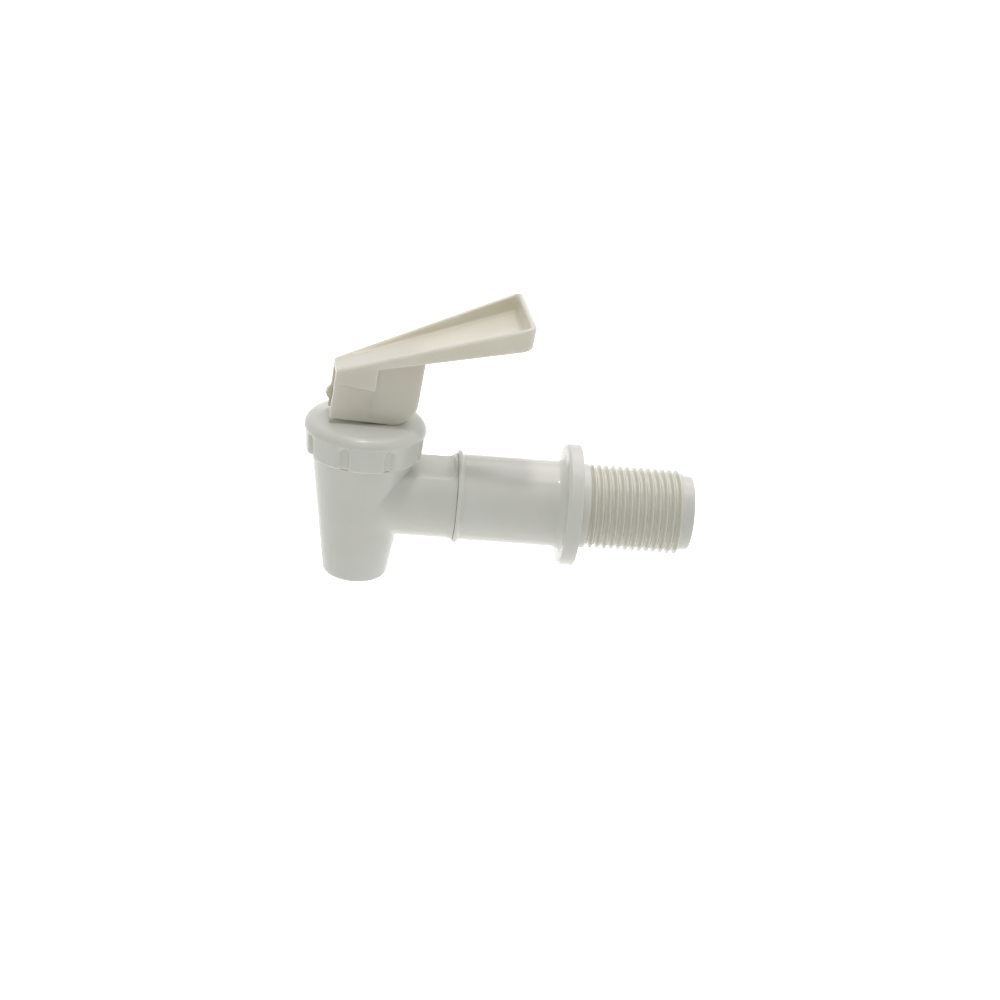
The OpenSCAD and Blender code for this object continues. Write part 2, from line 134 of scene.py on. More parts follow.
# %% Helpers for nodes and colours
def add(tree, kind, inputs=None, **settings):
    """Adds one node. A value in inputs that is a socket is linked, and any other is set."""
    node = tree.nodes.new(kind)
    for name, value in settings.items():
        setattr(node, name, value)
    for name, value in (inputs or {}).items():
        if isinstance(value, bpy.types.NodeSocket):
            tree.links.new(value, node.inputs[name])
        else:
            node.inputs[name].default_value = value
    return node


def linear(hex_colour):
    """An sRGB colour such as #D9DAD2 as linear red, green, blue and alpha."""
    parts = [int(hex_colour[i:i + 2], 16) / 255 for i in (1, 3, 5)]
    return [c / 12.92 if c <= 0.04045 else ((c + 0.055) / 1.055) ** 2.4 for c in parts] + [1.0]


# %% [markdown]
# All the outside parts are polypropylene, injection-moulded in a polished steel mould. The eye sees
# a milky white with small, fairly crisp highlights on the rounded edges. Light enters a millimetre or
# so before it comes back out, so edges glow a little, and the lever's thin walls glow more, which is
# why the ivory lets light in deeper. The mould's fine polish leaves a faint orange peel, and the
# melt's flow leaves clouds that are only just lighter or darker. Three scales of noise in millimetres
# give these.

# %% Moulded polypropylene
MILKY = {"Subsurface Weight": 0.2, "Subsurface Radius": (1.0, 0.9, 0.75), "Subsurface Scale": 1.2 * MM}
GLOWING = {"Subsurface Weight": 0.7, "Subsurface Radius": (1.0, 1.0, 0.95), "Subsurface Scale": 2.5 * MM}
POLISHED = 0.22


def moulded_polypropylene(name, pale, deep, roughness=POLISHED, ior=1.49, depth=MILKY):
    """Milky white moulded plastic whose clouds run between two close shades."""
    material = bpy.data.materials.new(name)
    material.use_nodes = True
    tree = material.node_tree
    shader = tree.nodes["Principled BSDF"]
    place = add(tree, "ShaderNodeTexCoord").outputs["Object"]
    clouds = add(tree, "ShaderNodeTexNoise", {"Vector": place, "Scale": 1 / (14 * MM), "Detail": 3})
    shade = add(tree, "ShaderNodeValToRGB", {"Fac": clouds.outputs["Fac"]})
    shade.color_ramp.elements[0].position = 0.35
    shade.color_ramp.elements[0].color = linear(deep)
    shade.color_ramp.elements[1].position = 0.65
    shade.color_ramp.elements[1].color = linear(pale)
    handled = add(tree, "ShaderNodeTexNoise", {"Vector": place, "Scale": 1 / (3 * MM), "Detail": 4})
    gloss = add(tree, "ShaderNodeMapRange", {
        "Value": handled.outputs["Fac"], "To Min": roughness - 0.05, "To Max": roughness + 0.07})
    peel = add(tree, "ShaderNodeTexNoise", {"Vector": place, "Scale": 1 / (0.55 * MM), "Detail": 2})
    bump = add(tree, "ShaderNodeBump", {
        "Height": peel.outputs["Fac"], "Strength": 0.25, "Distance": 0.01 * MM})
    tree.links.new(shade.outputs["Color"], shader.inputs["Base Color"])
    tree.links.new(gloss.outputs["Result"], shader.inputs["Roughness"])
    tree.links.new(bump.outputs["Normal"], shader.inputs["Normal"])
    shader.inputs["IOR"].default_value = ior
    for socket, value in depth.items():
        shader.inputs[socket].default_value = value
    return material


WHITE = ("#DADBD4", "#D6D7CF")
IVORY = ("#DEDACE", "#D9D5C8")
cool_white = moulded_polypropylene("moulded_polypropylene_cool_white", *WHITE)
warm_ivory = moulded_polypropylene("moulded_polypropylene_warm_ivory", *IVORY, depth=GLOWING)
print("plastics:", cool_white.name, warm_ivory.name)

# %% [markdown]
# The valve's inner parts are of three more materials. The stem and the washer are acetal, whiter than
# the outside and satin. The cup that seals the seat is silicone rubber, dull, dusty and more
# translucent. Both are the same recipe with other numbers. The pin and the spring are drawn stainless
# steel: drawing leaves fine lines along the wire, which blur the highlight.

# %% Acetal, drawn steel and silicone
def drawn_steel(name, line_mm):
    """Stainless steel wire with drawing lines a given distance apart."""
    material = bpy.data.materials.new(name)
    material.use_nodes = True
    tree = material.node_tree
    shader = tree.nodes["Principled BSDF"]
    place = add(tree, "ShaderNodeTexCoord").outputs["Object"]
    lines = add(tree, "ShaderNodeTexNoise", {"Vector": place, "Scale": 1 / (line_mm * MM), "Detail": 3})
    tone = add(tree, "ShaderNodeValToRGB", {"Fac": lines.outputs["Fac"]})
    tone.color_ramp.elements[0].color = linear("#B4B4B0")
    tone.color_ramp.elements[1].color = linear("#D0D0CC")
    gloss = add(tree, "ShaderNodeMapRange", {"Value": lines.outputs["Fac"], "To Min": 0.22, "To Max": 0.4})
    bump = add(tree, "ShaderNodeBump", {
        "Height": lines.outputs["Fac"], "Strength": 0.2, "Distance": 0.004 * MM})
    tree.links.new(tone.outputs["Color"], shader.inputs["Base Color"])
    tree.links.new(gloss.outputs["Result"], shader.inputs["Roughness"])
    tree.links.new(bump.outputs["Normal"], shader.inputs["Normal"])
    shader.inputs["Metallic"].default_value = 1.0
    return material


acetal = moulded_polypropylene("satin_acetal", "#DFDFDA", "#DBDBD5", roughness=0.42, ior=1.48)
steel = drawn_steel("drawn_stainless_steel", 0.3)
silicone = moulded_polypropylene(
    "pressed_silicone_rubber", "#D3D4CF", "#CDCEC8", roughness=0.6, ior=1.41,
    depth={**MILKY, "Subsurface Weight": 0.5})
print("inner materials:", acetal.name, steel.name, silicone.name)

# %% [markdown]
# A finished piece is a mesh whose object stays at the origin, as the model's own nodes do. One helper
# makes it, turns its faces outwards and smooths them, apart from edges that really turn a corner.

# %% From points and faces to a piece
CORNER = math.radians(38)


def piece_from(name, points_mm, faces, material):
    """A mesh object at the origin from points in millimetres, with one material."""
    mesh = bpy.data.meshes.new(name)
    mesh.from_pydata((np.asarray(points_mm) * MM).tolist(), [], np.asarray(faces).tolist())
    tidy = bmesh.new()
    tidy.from_mesh(mesh)
    bmesh.ops.remove_doubles(tidy, verts=tidy.verts, dist=0.0005 * MM)
    if tidy.calc_volume(signed=True) < 0:
        bmesh.ops.reverse_faces(tidy, faces=tidy.faces)
    open_edges = sum(1 for edge in tidy.edges if not edge.is_manifold)
    tidy.to_mesh(mesh)
    volume = tidy.calc_volume()
    tidy.free()
    mesh.shade_smooth()
    mesh.set_sharp_from_angle(angle=CORNER)
    mesh.materials.append(material)
    piece = bpy.data.objects.new(name, mesh)
    bpy.context.scene.collection.objects.link(piece)
    print(name, len(mesh.polygons), "faces,", open_edges, "open edges,", round(volume / MM ** 3), "mm3")
    return piece


# %% [markdown]
# Turned shapes come from an outline that is spun about an axis. An outline lists only its corners:
# radius, place along the axis, and the rounding, which becomes a true arc between the two straight
# sides. The outline closes on itself, so the spun shape is a closed wall, bore included.

# %% Outlines and turned shapes
ARC_STEP = math.radians(11)


def outline(corners):
    """Closed outline points from (radius, place, rounding) corners, with arcs at the rounded ones."""
    points = []
    for i, (radius, place, rounding) in enumerate(corners):
        here = np.array([radius, place], float)
        if rounding == 0:
            points.append(here)
            continue
        before = np.array(corners[i - 1][:2]) - here
        after = np.array(corners[(i + 1) % len(corners)][:2]) - here
        before, after = before / np.linalg.norm(before), after / np.linalg.norm(after)
        half = math.acos(np.clip(before @ after, -1, 1)) / 2
        centre = here + (before + after) / np.linalg.norm(before + after) * rounding / math.sin(half)
        start = here + before * rounding / math.tan(half) - centre
        end = here + after * rounding / math.tan(half) - centre
        a0, a1 = math.atan2(start[1], start[0]), math.atan2(end[1], end[0])
        sweep = (a1 - a0 + math.pi) % (2 * math.pi) - math.pi
        steps = max(2, math.ceil(abs(sweep) / ARC_STEP))
        for k in range(steps + 1):
            a = a0 + sweep * k / steps
            points.append(centre + rounding * np.array([math.cos(a), math.sin(a)]))
    return np.array(points)


def finer(points, low, high, least_radius, step):
    """Adds points to the sides that run along the axis between low and high, outside a radius."""
    result = []
    for here, ahead in zip(points, np.roll(points, -1, 0)):
        result.append(here)
        inside = min(here[0], ahead[0]) > least_radius
        inside = inside and min(here[1], ahead[1]) > low - step and max(here[1], ahead[1]) < high + step
        count = math.ceil(np.linalg.norm(ahead - here) / step) if inside else 1
        result += [here + (ahead - here) * k / count for k in range(1, count)]
    return np.array(result)


def turned(name, points, columns, material, along_x=False):
    """Spins a closed outline about the spout's axis, or about the arm's axis where along_x is set."""
    angle = 2 * np.pi * np.arange(columns)[:, None] / columns
    radius, place = points[None, :, 0], points[None, :, 1] + 0 * angle
    c, s = radius * np.cos(angle), radius * np.sin(angle)
    rows = [place, c, s + arm_z] if along_x else [c, s, place]
    spun = np.stack(rows, -1).reshape(-1, 3)
    n = len(points)
    i, j = np.meshgrid(np.arange(columns), np.arange(n), indexing="ij")
    corner = [i * n + j, (i + 1) % columns * n + j, (i + 1) % columns * n + (j + 1) % n, i * n + (j + 1) % n]
    return piece_from(name, spun, np.stack(corner, -1).reshape(-1, 4), material)


# %% [markdown]
# Three things on this faucet repeat or wind by a rule: the screw threads, the bonnet's grip notches
# and the spring. Geometry Nodes make them. A helper makes the tree with its named inputs, and
# another runs it on a piece and keeps the result as a plain mesh, because an export can't run the
# tree again. Most nodes are sums and products, so calc adds one Math node, and each tree calls it by
# the short name do.

# %% Helpers for geometry trees
def new_tree(name, sizes):
    """A geometry tree with one number input for each name in sizes, and a material input."""
    tree = bpy.data.node_groups.new(name, "GeometryNodeTree")
    tree.interface.new_socket("Geometry", in_out="INPUT", socket_type="NodeSocketGeometry")
    for size in sizes:
        tree.interface.new_socket(size, in_out="INPUT", socket_type="NodeSocketFloat")
    tree.interface.new_socket("Material", in_out="INPUT", socket_type="NodeSocketMaterial")
    tree.interface.new_socket("Geometry", in_out="OUTPUT", socket_type="NodeSocketGeometry")
    return tree, add(tree, "NodeGroupInput").outputs


def end_tree(tree, geometry, material):
    """Ends a tree: instances are made real, and the faces get their material."""
    real = add(tree, "GeometryNodeRealizeInstances", {"Geometry": geometry})
    painted = add(tree, "GeometryNodeSetMaterial", {"Geometry": real.outputs[0], "Material": material})
    add(tree, "NodeGroupOutput", {0: painted.outputs[0]})


def calc(tree, operation, *values, **settings):
    """One Math node: the named operation on numbers or sockets."""
    node = add(tree, "ShaderNodeMath", dict(enumerate(values)), operation=operation, **settings)
    return node.outputs[0]


def hypotenuse(tree, a, b):
    """The length of the slanted side over two square sides."""
    squares = calc(tree, "ADD", calc(tree, "MULTIPLY", a, a), calc(tree, "MULTIPLY", b, b))
    return calc(tree, "SQRT", squares)


def run_tree(piece, tree, sizes, material):
    """Runs the tree on the piece, keeps the result as a plain mesh and takes the modifier off."""
    modifier = piece.modifiers.new(tree.name, "NODES")
    modifier.node_group = tree
    for socket in tree.interface.items_tree:
        if socket.in_out == "INPUT" and socket.name in sizes:
            modifier[socket.identifier] = float(sizes[socket.name])
        if socket.in_out == "INPUT" and socket.name == "Material":
            modifier[socket.identifier] = material
    bpy.context.view_layer.update()
    made = bpy.data.meshes.new_from_object(piece.evaluated_get(bpy.context.evaluated_depsgraph_get()))
    piece.modifiers.remove(modifier)
    piece.data = made
    made.name = piece.name
    made.shade_smooth()
    made.set_sharp_from_angle(angle=CORNER)
    print(piece.name, "after", tree.name + ":", len(made.polygons), "faces")
    return piece


# %% [markdown]
# A screw thread is a ridge that climbs by one pitch in each turn. The tree takes a plain turned
# cylinder and moves each point of its skin outwards by the ridge's height there. That height
# depends only on how far the point lies from the nearest crest of the helix: flat on the crest, 30
# degree flanks, and a narrow root. The ridge fades in and out within a part of a turn at the two
# ends, where the mould's threaded slides start and stop.

# %% The tree that raises a screw thread
def screw_thread_tree():
    """Raises a right-handed ridge on the skin of a cylinder that lies along the arm's axis."""
    names = ["Axis Height", "Crest Place", "Pitch", "Depth", "Crest Width", "Root Width", "Soften",
             "Start", "End", "Fade", "Least Radius", "Greatest Radius"]
    tree, size = new_tree("screw_thread", names)
    do = partial(calc, tree)
    x, y, z = add(tree, "ShaderNodeSeparateXYZ", {
        "Vector": add(tree, "GeometryNodeInputPosition").outputs[0]}).outputs
    height = do("SUBTRACT", z, size["Axis Height"])
    radius = hypotenuse(tree, y, height)
    turn = do("DIVIDE", do("ARCTAN2", do("MULTIPLY", y, -1.0), height), 2 * math.pi)
    climb = do("DIVIDE", do("SUBTRACT", x, size["Crest Place"]), size["Pitch"])
    phase = do("SUBTRACT", climb, turn)
    nearest = do("ABSOLUTE", do("SUBTRACT", phase, do("ROUND", phase)))
    away = do("MULTIPLY", nearest, size["Pitch"])
    half_crest = do("MULTIPLY", size["Crest Width"], 0.5)
    half_root = do("MULTIPLY", do("SUBTRACT", size["Pitch"], size["Root Width"]), 0.5)
    flank_width = do("SUBTRACT", half_root, half_crest)
    flank = do("DIVIDE", do("SUBTRACT", half_root, away), flank_width)
    rise = do("SMOOTH_MAX", do("MULTIPLY", flank, size["Depth"]), 0.0, size["Soften"])
    ridge = do("SMOOTH_MIN", rise, size["Depth"], size["Soften"])
    fade_in = do("DIVIDE", do("SUBTRACT", x, size["Start"]), size["Fade"], use_clamp=True)
    fade_out = do("DIVIDE", do("SUBTRACT", size["End"], x), size["Fade"], use_clamp=True)
    skin = do("GREATER_THAN", radius, size["Least Radius"])
    threaded = do("MULTIPLY", do("MULTIPLY", fade_in, fade_out), skin)
    raised = do("MULTIPLY", threaded, ridge)
    room = do("MAXIMUM", do("SUBTRACT", size["Greatest Radius"], radius), 0.0)
    lift = do("MINIMUM", raised, room)
    share = do("DIVIDE", lift, do("MAXIMUM", radius, MM))
    outward = add(tree, "ShaderNodeCombineXYZ", {
        "Y": do("MULTIPLY", y, share), "Z": do("MULTIPLY", height, share)})
    moved = add(tree, "GeometryNodeSetPosition", {"Geometry": size["Geometry"], "Offset": outward.outputs[0]})
    end_tree(tree, moved.outputs[0], size["Material"])
    return tree


# %% [markdown]
# The shank is one moulding: the spigot inside the arm, the weld bead, the smooth tube, the flange that
# seats on the dispenser's wall, a smooth land, the thread and a short nose that finds the hole.
# Between the thread's ridges light bounces several times before it leaves, and each bounce takes some
# of it, blue most of all, so the eye sees the valleys darker and warmer than the crests. The shader's
# short subsurface radius doesn't reach that far, so this shade is painted into the shank's colour by radius.

# %% The shank's sizes and its white, with painted shade in the thread's valleys
PITCH = 25.4 / 16
THREAD_DEPTH = 0.85
spigot_r, arm_bore_r = 5.6, 4.3
BEAD_R, TUBE_R, DRAFT = 10.38, 9.55, math.tan(math.radians(0.1))
FLANGE_THICK, FLANGE_FILLET, RELIEF = 3.3, 2.0, 0.3
LAND_LEN, NOSE_R = 2.05, 8.3
WELD_GAP = 0.02
COLUMNS = 176
ROWS_PER_PITCH = 28
flange_r = (shank_high[2] - shank_low[2]) / 2
flange_front_x = flange_x - FLANGE_THICK
fillet_x = flange_front_x - FLANGE_FILLET
bead_x = arm_len + WELD_GAP
tube_start_r = TUBE_R - DRAFT * (fillet_x - arm_len - 2)
thread_root_r = thread_r - THREAD_DEPTH
land_x = flange_x + LAND_LEN
thread_end_x = land_x + 0.42 * PITCH + 13 * PITCH
end_x = shank_high[0]


def paint_valley_shade(material, valley_shade_colour):
    """Paints shade between the ridges of the shank's thread: the colour is taken towards a deeper one."""
    tree = material.node_tree
    do = partial(calc, tree)
    shader = tree.nodes["Principled BSDF"]
    clouds = shader.inputs["Base Color"].links[0].from_socket
    x, y, z = add(tree, "ShaderNodeSeparateXYZ", {
        "Vector": add(tree, "ShaderNodeTexCoord").outputs["Object"]}).outputs
    radius = hypotenuse(tree, y, do("SUBTRACT", z, arm_z * MM))
    # How deep a point lies in a valley sets the share of painted shade, from none at the crest to full at the
    # root.
    depth = add(tree, "ShaderNodeMapRange", {
        "Value": radius, "From Min": (thread_r - 0.02) * MM,
        "From Max": (thread_r - 0.75) * MM}).outputs["Result"]
    behind_land = do("GREATER_THAN", x, (land_x + 0.2) * MM)
    before_nose = do("LESS_THAN", x, (thread_end_x - 0.3) * MM)
    share = do("MULTIPLY", depth, do("MULTIPLY", behind_land, before_nose))
    painted_valley_colour = add(tree, "ShaderNodeMix", {0: share, 6: clouds, 7: linear(valley_shade_colour)}, data_type="RGBA")
    tree.links.new(painted_valley_colour.outputs[2], shader.inputs["Base Color"])
    return material


# D8D6C9 is painted shade: the shank's white is darkened and warmed towards it between the thread's ridges.
shank_white_painted_shade = paint_valley_shade(moulded_polypropylene("moulded_polypropylene_threaded_painted_valley_shade", *WHITE), "#D8D6C9")
print("thread from x =", round(land_x, 2), "to", round(thread_end_x, 2), "mm, material", shank_white_painted_shade.name)

# %% [markdown]
# The outline goes from the spigot's inner end round the skin to the nose, then back through the bore.
# The bead is a narrow ring that the weld pressed out, the tube widens by a tenth of a degree of mould
# draft, a fillet carries its load to the flange, and a shallow relief in the flange's face lets the
# wall seat flat. The threaded length has close rows, so that the ridge has something to stand on.

# %% The shank's outline and its thread
shank_outline = outline([
    (arm_bore_r, shank_low[0], 0.2), (spigot_r, shank_low[0], 0.3), (spigot_r, bead_x, 0),
    (BEAD_R - 0.2, bead_x, 0.1), (BEAD_R, arm_len + 0.4, 0.35), (BEAD_R - 0.15, arm_len + 0.85, 0.4),
    (tube_start_r, arm_len + 1.35, 0.25), (TUBE_R, flange_front_x, FLANGE_FILLET),
    (flange_r - 0.5, flange_front_x, 0.1), (flange_r, flange_front_x + 0.65, 0.15),
    (flange_r, flange_x, 0.3), (thread_r + 0.8, flange_x, 0.08), (thread_r + 0.8, flange_x - RELIEF, 0),
    (thread_r - RELIEF, flange_x - RELIEF, 0), (thread_r, flange_x, 0.1),
    (thread_r, land_x, 0.12), (thread_root_r, land_x + 0.36 * PITCH, 0.08),
    (thread_root_r, thread_end_x, 0), (NOSE_R, thread_end_x + 0.12, 0),
    (NOSE_R, end_x, 0.4), (shank_bore_r, end_x, 0.3),
    (shank_bore_r, arm_len + 1.9, 0), (arm_bore_r, arm_len + 1.9, 0)])
shank_outline = finer(shank_outline, land_x, thread_end_x, NOSE_R + 0.1, PITCH / ROWS_PER_PITCH)
threaded_shank = turned("threaded_shank", shank_outline, COLUMNS, shank_white_painted_shade, along_x=True)

screw_thread = screw_thread_tree()
run_tree(threaded_shank, screw_thread, {
    "Axis Height": arm_z * MM, "Crest Place": 51.146 * MM, "Pitch": PITCH * MM,
    "Depth": THREAD_DEPTH * MM, "Crest Width": 0.18 * MM, "Root Width": 0.5 * MM, "Soften": 0.06 * MM,
    "Start": (land_x + 0.3) * MM, "End": (thread_end_x + 0.1) * MM, "Fade": 0.3 * PITCH * MM,
    "Least Radius": (thread_root_r - 0.1) * MM, "Greatest Radius": thread_r * MM}, shank_white_painted_shade)

# %% [markdown]
# The bonnet screws down over the spout's neck. Its top edge is a generous round, a fine step marks
# the top of the grip band, and the band leans in towards its lower rim. Eight notches in the band
# give the fingers a hold. They repeat by a rule and follow the skin, so a tree presses them in: a
# point moves inwards by an amount that depends on its distance from the nearest notch's middle line,
# and each notch ends in a round top.

# %% The tree that presses in the grip notches
def grip_notch_tree():
    """Presses round-ended notches into the skin of a shape turned about the vertical axis."""
    names = ["Count", "First Turn", "Half Width", "Flat Share", "Depth", "Top", "Least Radius"]
    tree, size = new_tree("grip_notches", names)
    do = partial(calc, tree)
    x, y, z = add(tree, "ShaderNodeSeparateXYZ", {
        "Vector": add(tree, "GeometryNodeInputPosition").outputs[0]}).outputs
    radius = hypotenuse(tree, x, y)
    sector = do("DIVIDE", 2 * math.pi, size["Count"])
    angle = do("SUBTRACT", do("ARCTAN2", y, x), size["First Turn"])
    turn = do("DIVIDE", angle, sector)
    off_middle = do("SUBTRACT", turn, do("ROUND", turn))
    sideways = do("MULTIPLY", do("MULTIPLY", off_middle, sector), radius)
    round_end = do("SUBTRACT", size["Top"], size["Half Width"])
    above = do("MAXIMUM", do("SUBTRACT", z, round_end), 0.0)
    away = hypotenuse(tree, sideways, above)
    press = add(tree, "ShaderNodeMapRange", {
        "Value": away, "From Min": size["Half Width"],
        "From Max": do("MULTIPLY", size["Half Width"], size["Flat Share"]),
        "To Min": 0.0, "To Max": size["Depth"]}, interpolation_type="SMOOTHSTEP")
    skin = do("GREATER_THAN", radius, size["Least Radius"])
    pressed = do("MULTIPLY", press.outputs["Result"], skin)
    share = do("DIVIDE", pressed, do("MAXIMUM", radius, MM))
    inward = add(tree, "ShaderNodeCombineXYZ", {
        "X": do("MULTIPLY", do("MULTIPLY", x, share), -1.0),
        "Y": do("MULTIPLY", do("MULTIPLY", y, share), -1.0)})
    moved = add(tree, "GeometryNodeSetPosition", {"Geometry": size["Geometry"], "Offset": inward.outputs[0]})
    end_tree(tree, moved.outputs[0], size["Material"])
    return tree


# %% [markdown]
# The bonnet's outline is spun as well. Inside are the ceiling, a boss round the stem's hole and two
# rings that stand for the thread, because nobody sees there. The skin of the band gets many rows, so
# that the notches can bend it smoothly.

# %% The screwed bonnet
bonnet_r = -bonnet_low[0]
skirt_r = 12.65
skirt_z, bonnet_top = bonnet_low[2], bonnet_high[2]
BONNET_ROUND = 2.2
BAND_STEP = 0.28
RING_PITCH, RING_DROP = 1.6, 1.6
band_top = bonnet_top - BONNET_ROUND
stem_hole_r, boss_r, inner_r, inner_crest_r = 2.35, 3.9, 11.2, 10.55
ceiling = 34.9
shoulder_arc = [
    (bonnet_r - BONNET_ROUND * (1 - math.cos(a)), band_top + BONNET_ROUND * math.sin(a), 0)
    for a in np.linspace(0, math.pi / 2, 13)]
inner_rings = [
    (r, ceiling - RING_DROP - k * RING_PITCH + dz, 0) for k in range(2)
    for r, dz in ((inner_r, 0), (inner_crest_r, -0.52), (inner_crest_r, -0.92), (inner_r, -1.45))]
bonnet_outline = outline([
    (skirt_r, skirt_z, 0.42), (bonnet_r - BAND_STEP, band_top - 0.1, 0.05),
    (bonnet_r - 0.03, band_top - 0.06, 0), (bonnet_r, band_top + 0.05, 0),
    *shoulder_arc[1:], (stem_hole_r, bonnet_top, 0.25), (stem_hole_r, ceiling - 2, 0.15),
    (boss_r, ceiling - 2, 0.2), (boss_r, ceiling, 0), (inner_r, ceiling, 0),
    *inner_rings, (inner_r, skirt_z, 0.2)])
bonnet_outline = finer(bonnet_outline, skirt_z, band_top, inner_r + 1, 0.16)
screw_bonnet = turned("screw_bonnet", bonnet_outline, 384, cool_white)
run_tree(screw_bonnet, grip_notch_tree(), {
    "Count": 8, "First Turn": math.radians(25.5 - 90), "Half Width": 1.4 * MM, "Flat Share": 0.35,
    "Depth": 0.85 * MM, "Top": (bonnet_top - 2.25) * MM, "Least Radius": (inner_r + 0.8) * MM}, cool_white)

# %% [markdown]
# The spout and the lever aren't turned shapes: their round and flat walls run into each other with
# small radii. Such a moulding is easiest to describe by a distance field, a formula that is negative
# inside the plastic, positive outside, and grows by one millimetre for each millimetre. Two fields
# meet in a rounded edge or join in a fillet by simple formulas. The skin is then laid where the
# field is zero: one point in each small cell of a grid that the skin passes through, moved along the
# field's slope until it lies on the skin exactly.

# %% Distance fields: edges and fillets
def meet(a, b, rounding=0.0):
    """What lies inside both fields, with a rounded edge."""
    outside = np.hypot(np.maximum(a + rounding, 0), np.maximum(b + rounding, 0))
    return np.minimum(np.maximum(a, b), -rounding) + outside


def join(a, b, fillet=0.0):
    """What lies inside either field, with a fillet in the corner."""
    return -meet(-a, -b, fillet)


def cut(a, b, rounding=0.0):
    """The first field without the second, with a rounded edge."""
    return meet(a, -b, rounding)


def ball(x, y, z):
    """A test field: a ball with a radius of 3 mm."""
    return np.sqrt(x * x + y * y + z * z) - 3


print("1 mm inside two faces, their edge rounded by 2 mm:", round(float(meet(-1.0, -1.0, 2.0)), 3), "mm")

# %% [markdown]
# The grid is walked along each axis. Where the field changes sign between two neighbouring grid
# points, the four cells round that line each hold a point of the skin, and these four make one face.
# Each point starts at the mean of its cell's crossings. A ball tests the walk: every point of its
# skin has to lie 3 mm from the middle.

# %% The skin of a field
SETTLING_ROUNDS = 4


def settle(field, points, step):
    """Moves points along the field's slope on to its zero."""
    nudge = 0.05 * step
    for _ in range(SETTLING_ROUNDS):
        value = field(*points.T)
        slope = np.stack([
            (field(*(points + nudge * axis).T) - field(*(points - nudge * axis).T)) / (2 * nudge)
            for axis in np.eye(3)], -1)
        move = -value[:, None] * slope / np.maximum((slope ** 2).sum(1), 0.05)[:, None]
        length = np.linalg.norm(move, axis=1)[:, None]
        points = points + move * np.minimum(1, 0.4 * step / np.maximum(length, 1e-9))
    return points


def skin_of(field, low, high, step):
    """Points and faces of the surface where the field is zero, inside a box."""
    axes = [np.arange(a - 1.5 * step, b + 2.5 * step, step) for a, b in zip(low, high)]
    value = field(*np.meshgrid(*axes, indexing="ij"))
    cells = np.array(value.shape) - 1
    total, count = np.zeros((*cells, 3)), np.zeros(cells)
    for axis in range(3):
        sides = [k for k in range(3) if k != axis]
        for shift in itertools.product((0, 1), repeat=2):
            at = [slice(0, -1)] * 3
            for k, s in zip(sides, shift):
                at[k] = slice(s, s + cells[k])
            start = value[tuple(at)]
            at[axis] = slice(1, None)
            end = value[tuple(at)]
            crossed = (start < 0) != (end < 0)
            total[..., axis] += np.where(crossed, start / np.where(crossed, start - end, 1), 0)
            for k, s in zip(sides, shift):
                total[..., k] += crossed * s
            count += crossed
    live = count > 0
    number = np.full(cells, -1)
    number[live] = np.arange(live.sum())
    points = np.stack(np.nonzero(live), -1) + total[live] / count[live][:, None]
    points = points * step + np.array([axis[0] for axis in axes])
    faces = []
    for axis in range(3):
        start, end = (np.moveaxis(value, axis, 0)[part] < 0 for part in (slice(0, -1), slice(1, None)))
        edges = np.argwhere(start != end)
        order = [axis] + [k for k in range(3) if k != axis]
        outward = start[tuple(edges.T)]
        at = np.empty_like(edges)
        at[:, order] = edges
        u, w = np.eye(3, dtype=int)[(axis + 1) % 3], np.eye(3, dtype=int)[(axis + 2) % 3]
        ring = np.stack([number[tuple((at - back).T)] for back in (u + w, w, 0 * u, u)], -1)
        faces.append(np.where(outward[:, None], ring, ring[:, ::-1]))
    return settle(field, points, step), np.concatenate(faces)


ball_points, ball_faces = skin_of(ball, (-3, -3, -3), (3, 3, 3), 0.5)
reach = np.linalg.norm(ball_points, axis=1)
print("ball:", len(ball_faces), "faces, points at", reach.min().round(4), "to", reach.max().round(4), "mm")

# %% [markdown]
# The spout is a cone that narrows to the outlet, with a short arm that flares up to the weld bead.
# The arm has a flat on top, milled into the mould to clear the bonnet. Inside are the chamber, the
# raised lip on which the valve closes, the outlet and the waterway from the shank. The neck above
# the shoulder carries the bonnet's thread, as a true helix here.

# %% The spout and its arm
shoulder = skirt_z - 0.2
neck_top = spout_high[2]
spout_r0, spout_slope = 7.13, 0.1443
spout_cosine = math.cos(math.atan(spout_slope))
arm_r, FLAT_UP, FLAT_END, FLAT_HALF = 9.35, 6.8, arm_len - 0.7, 6.82
neck_root_r, neck_bore_r, NECK_PITCH = 10.35, 8.6, 1.6
NECK_RIDGE, NECK_FADE, DAMPED = 0.65, 0.6, 0.8
ARM_FLARE_LEN, ARM_FLARE = 2.2, 0.42
CONE_WALL, LIP_WALL = 2.0, 0.35
floor_z = seat_z - 1.2


def neck_field(x, y, z):
    """The neck with its helical ridge. The slope of the ridge's flank calls for a damped field."""
    climb = (z - shoulder - 0.8) / NECK_PITCH - np.arctan2(y, x) / (2 * np.pi)
    away = np.abs(climb - np.round(climb)) * NECK_PITCH
    ends = np.clip((neck_top - 0.4 - z) / NECK_FADE, 0, 1)
    ends = ends * np.clip((z - shoulder - 0.2) / NECK_FADE, 0, 1)
    ridge = np.clip((0.72 - away) / 0.52, 0, 1) * NECK_RIDGE * ends
    thread = DAMPED * (np.hypot(x, y) - neck_root_r - ridge)
    return meet(meet(thread, z - neck_top, 0.2), shoulder - 1 - z)


def arm_field(x, y, z):
    """The arm with its flare and the flat on top."""
    flare = ARM_FLARE * np.clip((x - arm_len + ARM_FLARE_LEN) / ARM_FLARE_LEN, 0, 1) ** 2
    radius = arm_r - DRAFT * (arm_len - ARM_FLARE_LEN - x)
    bar = meet(np.hypot(y, z - arm_z) - radius - flare, x - arm_len, 0.25)
    pocket = meet(meet(x - FLAT_END, np.abs(y) - FLAT_HALF, 1.5), arm_z + FLAT_UP - z, 1.1)
    return meet(cut(bar, pocket, 0.3), -x)


